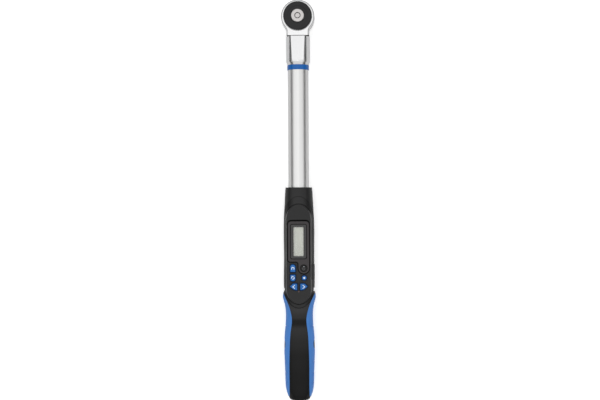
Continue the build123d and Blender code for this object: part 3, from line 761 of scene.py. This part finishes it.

# display window: clear lens, the print inside it, its rim painted lighter as a highlight, and a black band
# painted as the shade in the gap round it
windowLook = {
    "lensY": -299.9, "glassY": -300.0, "low": 21.055, "high": 21.115, "rimHigh": 21.135, "gapHigh": 21.33,
    "lens": {"size": (20.1, 44.7), "corner": 1.9},
    "glass": {"size": (13.3, 38.4), "corner": 0.7},
    "rim": {"size": (19.2, 43.8), "corner": 1.5},
    "gap": {"size": (22.0, 46.6), "corner": 2.7},
    "clear": {"color": (0.9, 0.92, 0.9), "rough": 0.08}, "alpha": 0.14,
    "smears": {"Size": 90.0, "Cut": 0.5}, "smearRough": (0.06, 0.12),
}
lensLoop = roundedLoop(windowLook["lensY"], windowLook["lens"])
glassLoop = roundedLoop(windowLook["glassY"], windowLook["glass"])
rimLoop = roundedLoop(windowLook["lensY"], windowLook["rim"])
gapLoop = roundedLoop(windowLook["lensY"], windowLook["gap"])
windowFrames = (
    ("lensPrint", rimLoop, glassLoop, "high", "print", "panel_polymer"),
    ("lensRim", lensLoop, rimLoop, "rimHigh", "rim", "panel_polymer"),
    ("lensGap", gapLoop, lensLoop, "gapHigh", "line", "black_elastomer"),
)
for name, outer, inner, high, finish, slot in windowFrames:
    ringMesh = frameMesh(name, outer, inner, windowLook["low"], windowLook[high])
    addPiece(name, ringMesh, "frame", mould[finish])


def windowFinish(name, look):
    material, tree, shader = startMaterial(name, look["clear"])
    shader.inputs["Alpha"].default_value = look["alpha"]
    smear = placeGroup(tree, "marks", look["smears"])
    tree.links.new(rangeOf(tree, smear.outputs["Mask"], *look["smearRough"]), shader.inputs["Roughness"])
    return material


paint("display_lens", windowFinish("windowPlastic", windowLook))
print("display built")

# short ribs across the shallow recess in front of the display pod; inner and outer are the half width
# and reach of the ellipses that they run between, and start and end are degrees round them
ribLook = {"count": 9, "start": 22.0, "end": 64.0, "center": -272.0, "inner": (17.6, 22.6),
           "outer": (19.3, 31.0), "width": 0.75, "height": 0.55, "sink": 0.12, "cuts": 9}


def vectorNode(tree, operation, *values):
    node = tree.nodes.new("ShaderNodeVectorMath")
    node.operation = operation
    for i, value in enumerate(values):
        tree.links.new(value, node.inputs[i])
    return node


def joinVector(tree, x, y, z):
    node = tree.nodes.new("ShaderNodeCombineXYZ")
    for i, value in enumerate((x, y, z)):
        feed(tree, value, node.inputs[i])
    return node.outputs[0]


def buildRibTree():
    # ribs run from one half ellipse to another and are laid on the surface below them
    tree = bpy.data.node_groups.new("archRibs", "GeometryNodeTree")
    face = tree.interface
    sizes = ("Start", "End", "Inner A", "Inner B", "Outer A", "Outer B", "Center Y",
             "Width", "Height", "Sink")
    kinds = [("Count", "Int"), ("Cuts", "Int")] + [(label, "Float") for label in sizes]
    for label, kind in kinds + [("Surface", "Object"), ("Material", "Material")]:
        face.new_socket(label, in_out="INPUT", socket_type="NodeSocket" + kind)
    face.new_socket("Geometry", in_out="OUTPUT", socket_type="NodeSocketGeometry")
    entry = tree.nodes.new("NodeGroupInput").outputs
    leave = tree.nodes.new("NodeGroupOutput")
    link = tree.links.new

    # a point for each rib, halfway between the two ellipses
    line = tree.nodes.new("GeometryNodeMeshLine")
    link(entry["Count"], line.inputs["Count"])
    index = tree.nodes.new("GeometryNodeInputIndex").outputs[0]
    share = mathNode(tree, "DIVIDE", index, mathNode(tree, "SUBTRACT", entry["Count"], 1.0))
    sweep = mathNode(tree, "SUBTRACT", entry["End"], entry["Start"])
    turn = mathNode(tree, "ADD", entry["Start"], mathNode(tree, "MULTIPLY", share, sweep))
    cosine, sine = mathNode(tree, "COSINE", turn), mathNode(tree, "SINE", turn)
    ends = []
    for key in ("Inner", "Outer"):
        x = mathNode(tree, "MULTIPLY", entry[key + " A"], cosine)
        y = mathNode(tree, "ADD", mathNode(tree, "MULTIPLY", entry[key + " B"], sine), entry["Center Y"])
        ends.append(joinVector(tree, x, y, 0.0))
    span = vectorNode(tree, "SUBTRACT", ends[1], ends[0]).outputs["Vector"]
    length = vectorNode(tree, "LENGTH", span).outputs["Value"]
    both = vectorNode(tree, "ADD", ends[0], ends[1]).outputs["Vector"]
    half = vectorNode(tree, "SCALE", both)
    half.inputs["Scale"].default_value = 0.5
    split = splitVector(tree, span)
    heading = mathNode(tree, "ARCTAN2", split["Y"], split["X"])
    place = tree.nodes.new("GeometryNodeSetPosition")
    link(line.outputs["Mesh"], place.inputs["Geometry"])
    link(half.outputs["Vector"], place.inputs["Position"])

    # a bar of unit length on each point, turned and stretched to its rib
    bar = tree.nodes.new("GeometryNodeMeshCube")
    link(joinVector(tree, 1.0, entry["Width"], entry["Height"]), bar.inputs["Size"])
    link(entry["Cuts"], bar.inputs["Vertices X"])
    spread = tree.nodes.new("GeometryNodeInstanceOnPoints")
    link(place.outputs["Geometry"], spread.inputs["Points"])
    link(bar.outputs["Mesh"], spread.inputs["Instance"])
    link(joinVector(tree, 0.0, 0.0, heading), spread.inputs["Rotation"])
    link(joinVector(tree, length, 1.0, 1.0), spread.inputs["Scale"])
    real = tree.nodes.new("GeometryNodeRealizeInstances")
    link(spread.outputs["Instances"], real.inputs["Geometry"])

    # every point drops onto the surface below it
    surface = tree.nodes.new("GeometryNodeObjectInfo")
    link(entry["Surface"], surface.inputs["Object"])
    spot = splitVector(tree, tree.nodes.new("GeometryNodeInputPosition").outputs[0])
    ray = tree.nodes.new("GeometryNodeRaycast")
    link(surface.outputs["Geometry"], ray.inputs["Target Geometry"])
    link(joinVector(tree, spot["X"], spot["Y"], overhead), ray.inputs["Source Position"])
    ray.inputs["Ray Direction"].default_value = (0.0, 0.0, -1.0)
    ray.inputs["Ray Length"].default_value = 2 * overhead
    hit = splitVector(tree, ray.outputs["Hit Position"])
    lift = mathNode(tree, "SUBTRACT", mathNode(tree, "MULTIPLY", entry["Height"], 0.5), entry["Sink"])
    height = mathNode(tree, "ADD", mathNode(tree, "ADD", hit["Z"], spot["Z"]), lift)
    drape = tree.nodes.new("GeometryNodeSetPosition")
    link(real.outputs["Geometry"], drape.inputs["Geometry"])
    link(joinVector(tree, spot["X"], spot["Y"], height), drape.inputs["Position"])
    dress = tree.nodes.new("GeometryNodeSetMaterial")
    link(drape.outputs["Geometry"], dress.inputs["Geometry"])
    link(entry["Material"], dress.inputs["Material"])
    link(dress.outputs["Geometry"], leave.inputs["Geometry"])
    return tree


def growPiece(name, tree, values, body, material):
    # runs a node tree on an empty mesh and keeps the plain result
    grower = addObject(name + "Seed", bpy.data.meshes.new(name + "Seed"))
    modifier = grower.modifiers.new("grow", "NODES")
    modifier.node_group = tree
    for item in tree.interface.items_tree:
        if item.item_type == "SOCKET" and item.in_out == "INPUT" and item.name in values:
            modifier[item.identifier] = values[item.name]
    bpy.context.view_layer.update()
    grown = grower.evaluated_get(bpy.context.evaluated_depsgraph_get())
    mesh = bpy.data.meshes.new_from_object(grown)
    mesh.name = name
    grower.modifiers.remove(modifier)
    bpy.data.objects.remove(grower)
    addPiece(name, mesh, body, material)


ribTree = buildRibTree()
ribSizes = {"Count": ribLook["count"], "Cuts": ribLook["cuts"],
            "Surface": bpy.data.objects["housingUpperSkin"], "Material": mould["housing"]}
for label, value in (("Inner A", ribLook["inner"][0]), ("Inner B", ribLook["inner"][1]),
                     ("Outer A", ribLook["outer"][0]), ("Outer B", ribLook["outer"][1]),
                     ("Center Y", ribLook["center"]), ("Width", ribLook["width"]),
                     ("Height", ribLook["height"]), ("Sink", ribLook["sink"])):
    ribSizes[label] = value * mm
ribStart, ribEnd = math.radians(ribLook["start"]), math.radians(ribLook["end"])
ribTurns = {"archRibsRight": (ribStart, ribEnd), "archRibsLeft": (math.pi - ribStart, math.pi - ribEnd)}
for name, (start, end) in ribTurns.items():
    values = {**ribSizes, "Start": start, "End": end}
    growPiece(name, ribTree, values, "frame", mould["housing"])
print("ribs grown")

# dark strips, painted shade in the joints and recesses: round the face panel, at both ends of the pod and
# along the handle's seam
panelLook = {
    "corners": [(-13.9, -326.4), (-0.3, -326.4), (-0.3, -342.1), (13.9, -342.1), (13.9, -273.2),
                (-13.9, -273.2)],
    "radii": [2.4, 3.4, 7.0, 7.0, 4.2, 4.2],
    "gap": 1.25, "topGap": 2.1, "topFrom": -290.0, "topOver": 12.0,     # the line widens past topFrom
    "low": 20.3, "high": 21.54,
}
stripLook = {"steps": 72, "proud": 0.08, "thick": 0.15, "crease": 40.0}
jointShadeLines = {      # radii are half width and reach, and turn is degrees round the ellipse
    "podArchLine": {"center": -272.0, "radii": (19.6, 31.6), "width": 0.85, "turn": (48, 132)},
    "podFrontLine": {"center": -272.0, "radii": (16.5, 21.5), "width": 1.05, "turn": (20, 160)},
    "podTailLine": {"center": -362.0, "radii": (16.45, 20.65), "width": 1.05, "turn": (200, 340)},
    "seamLine": {"center": -362.0, "radii": (19.45, 25.75), "width": 0.95, "turn": (212, 328)},
}
surfaces = []
for name in ("housingUpperSkin", "handleCoreSkin"):
    shell = bmesh.new()
    shell.from_mesh(bpy.data.objects[name].data)
    surfaces.append(BVHTree.FromBMesh(shell))
    shell.free()


def surfaceHeight(x, y):
    # height of the housing or the handle at a place, in metres
    hits = [tree.ray_cast(Vector((x, y, overhead)), Vector((0, 0, -1)))[0] for tree in surfaces]
    return max([hit.z for hit in hits if hit] + [0.0])


def drapedStrip(name, line, look):
    # thin strip between two ellipses, laid a hair above whatever is below it
    start, end = line["turn"]
    work = bmesh.new()
    columns = []
    for i in range(look["steps"] + 1):
        turn = math.radians(start + (end - start) * i / look["steps"])
        column = []
        for grow in (0.0, line["width"] / 2, line["width"]):
            x = (line["radii"][0] + grow) * math.cos(turn) * mm
            y = (line["center"] + (line["radii"][1] + grow) * math.sin(turn)) * mm
            column.append((x, y))
        low = min(surfaceHeight(x, y) for x, y in column)
        columns.append([work.verts.new((x, y, low + look["proud"] * mm)) for x, y in column])
    for a, b in zip(columns, columns[1:]):
        for k in range(2):
            work.faces.new((a[k], a[k + 1], b[k + 1], b[k]))
    thicken(work, (0, 0, -look["thick"] * mm))
    return closeMesh(work, name, sharp=look["crease"])


panelLoop = cornerLoop(panelLook["corners"], panelLook["radii"])
outerPanel = []
for x, y in insetLoop(panelLoop, -panelLook["gap"]):
    share = max(0.0, min(1.0, (y - panelLook["topFrom"]) / panelLook["topOver"]))
    outerPanel.append((x, y + (panelLook["topGap"] - panelLook["gap"]) * share))
panelLine = frameMesh("panelLine", outerPanel, panelLoop, panelLook["low"], panelLook["high"])
addPiece("panelLine", panelLine, "frame", mould["line"])
for name, line in jointShadeLines.items():
    addPiece(name, drapedStrip(name, line, stripLook), "frame", mould["line"])
print("joint lines laid")

# round rubber faces in the sides of the grips, a little taller than they are long
discLook = {"center": -437.5, "radius": 8.2, "tall": 1.22, "rings": 6, "spokes": 40, "proud": 0.05,
            "thick": 0.4, "crease": 40.0}


def discFace(name, side, grip, look):
    # round plate laid against the side of a grip, with its rim turned in
    shell = bmesh.new()
    for skin in (grip, "gripDiscsSkin"):
        shell.from_mesh(bpy.data.objects[skin].data)
    tree = BVHTree.FromBMesh(shell)
    shell.free()
    work = bmesh.new()
    rings = []
    for k in range(look["rings"] + 1):
        radius = look["radius"] * k / look["rings"] * mm
        edge = look["proud"] if k < look["rings"] else -look["thick"] / 2
        ring = []
        for i in range(look["spokes"] if k else 1):
            turn = 2 * math.pi * i / look["spokes"]
            y = look["center"] * mm + radius * math.cos(turn)
            z = radius * look["tall"] * math.sin(turn)
            hit = tree.ray_cast(Vector((side * overhead, y, z)), Vector((-side, 0, 0)))[0]
            ring.append(work.verts.new((hit.x + side * edge * mm, y, z)))
        rings.append(ring)
    for i in range(look["spokes"]):
        j = (i + 1) % look["spokes"]
        work.faces.new((rings[0][0], rings[1][i], rings[1][j]))
        for k in range(1, look["rings"]):
            work.faces.new((rings[k][i], rings[k + 1][i], rings[k + 1][j], rings[k][j]))
    thicken(work, (-side * look["thick"] * mm, 0, 0))
    return closeMesh(work, name, sharp=look["crease"])


for name, side, grip in (("discFaceRight", 1, "gripRightSkin"), ("discFaceLeft", -1, "gripLeftSkin")):
    addPiece(name, discFace(name, side, grip, discLook), "frame", mould["disc"])
print("grip discs faced")

# floor that the drive's tip and the grip both rest on; gripFrom (metres) is where the grip begins
floorLook = {"span": 4.0, "gap": 0.2, "gripFrom": -0.3, "color": (0.90, 0.90, 0.90), "rough": 0.7,
             "specular": 0.0, "glow": 0.45}


def worldPoints(node):
    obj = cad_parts[node]
    return [obj.matrix_world @ vertex.co for vertex in obj.data.vertices]


tipZ = min(point.z for point in worldPoints("drive_rotor"))
gripPoints = [point for point in worldPoints("handle_core") if point.y < floorLook["gripFrom"]]
slope = min((point.z - tipZ) / -point.y for point in gripPoints)
reach = floorLook["span"]
floorMesh = bpy.data.meshes.new("floor")
corners = [(-reach, -reach), (reach, -reach), (reach, reach), (-reach, reach)]
floorZ = tipZ - floorLook["gap"] * mm
floorMesh.from_pydata([(x, y, floorZ - slope * y) for x, y in corners], [], [(0, 1, 2, 3)])
floor = addObject("floor", floorMesh)
floorMaterial, floorTree, floorShader = startMaterial("floorPaper", floorLook)
floorShader.inputs["Emission Color"].default_value = (1, 1, 1, 1)
floorEye = floorTree.nodes.new("ShaderNodeLightPath")
glow = mathNode(floorTree, "MULTIPLY", floorEye.outputs["Is Camera Ray"], floorLook["glow"])
floorTree.links.new(glow, floorShader.inputs["Emission Strength"])
floorMesh.materials.append(floorMaterial)
print("floor slope", round(math.degrees(math.atan(slope)), 2), "degrees")

# studio: bright overhead dome that falls to a dark horizon between two heights, and plain white behind
studioLook = {"dome": 1.0, "horizon": 0.13, "high": 0.52, "low": 0.34, "paper": 1.0}
world = bpy.data.worlds.new("studio")
bpy.context.scene.world = world
world.use_nodes = True
sky = world.node_tree
background = sky.nodes["Background"]
direction = sky.nodes.new("ShaderNodeTexCoord")
parts = splitVector(sky, direction.outputs["Generated"])
fall = sky.nodes.new("ShaderNodeMapRange")
fall.interpolation_type = "SMOOTHSTEP"
fall.inputs["From Min"].default_value = studioLook["low"]
fall.inputs["From Max"].default_value = studioLook["high"]
fall.inputs["To Min"].default_value = studioLook["horizon"]
fall.inputs["To Max"].default_value = studioLook["dome"]
sky.links.new(parts["Z"], fall.inputs["Value"])
eye = sky.nodes.new("ShaderNodeLightPath")
pick = sky.nodes.new("ShaderNodeMix")
sky.links.new(eye.outputs["Is Camera Ray"], pick.inputs["Factor"])
sky.links.new(fall.outputs["Result"], pick.inputs["A"])
pick.inputs["B"].default_value = studioLook["paper"]
sky.links.new(pick.outputs["Result"], background.inputs["Strength"])
background.inputs["Color"].default_value = (1, 1, 1, 1)

# two large soft lamps above, the left one stronger; size and length are metres, power is watts
lampLook = {
    "aim": (0.0, -0.25, 0.0), "size": 1.9, "length": 2.6,
    "overheadLeft": {"place": (-0.9, -0.1, 2.2), "power": 5.0},
    "overheadRight": {"place": (0.9, -0.5, 2.2), "power": 3.5},
}
for name in ("overheadLeft", "overheadRight"):
    lamp = lampLook[name]
    light = bpy.data.lights.new(name, "AREA")
    light.shape = "RECTANGLE"
    light.size = lampLook["size"]
    light.size_y = lampLook["length"]
    light.energy = lamp["power"]
    holder = addObject(name, light)
    holder.location = lamp["place"]
    aim = Vector(lampLook["aim"]) - holder.location
    holder.rotation_euler = aim.to_track_quat("-Z", "Y").to_euler()

# camera overhead, leaning a little to the right (degrees) and turned by roll; places are metres
cameraLook = {"aim": (0.0016, -0.2452, 0.0), "distance": 1.452, "lean": 1.7, "roll": -0.31,
              "lens": 65.0, "sensor": 36.0}
cameraData = bpy.data.cameras.new("camera")
cameraData.lens = cameraLook["lens"]
cameraData.sensor_width = cameraLook["sensor"]
camera = addObject("camera", cameraData)
lean = math.radians(cameraLook["lean"])
back = Vector((math.sin(lean), 0.0, math.cos(lean))) * cameraLook["distance"]
camera.location = Vector(cameraLook["aim"]) + back
camera.rotation_euler = (0, lean, math.radians(cameraLook["roll"]))
bpy.context.scene.camera = camera
bpy.context.scene.view_settings.view_transform = "Standard"
print("studio ready")

bpy.context.view_layer.update()
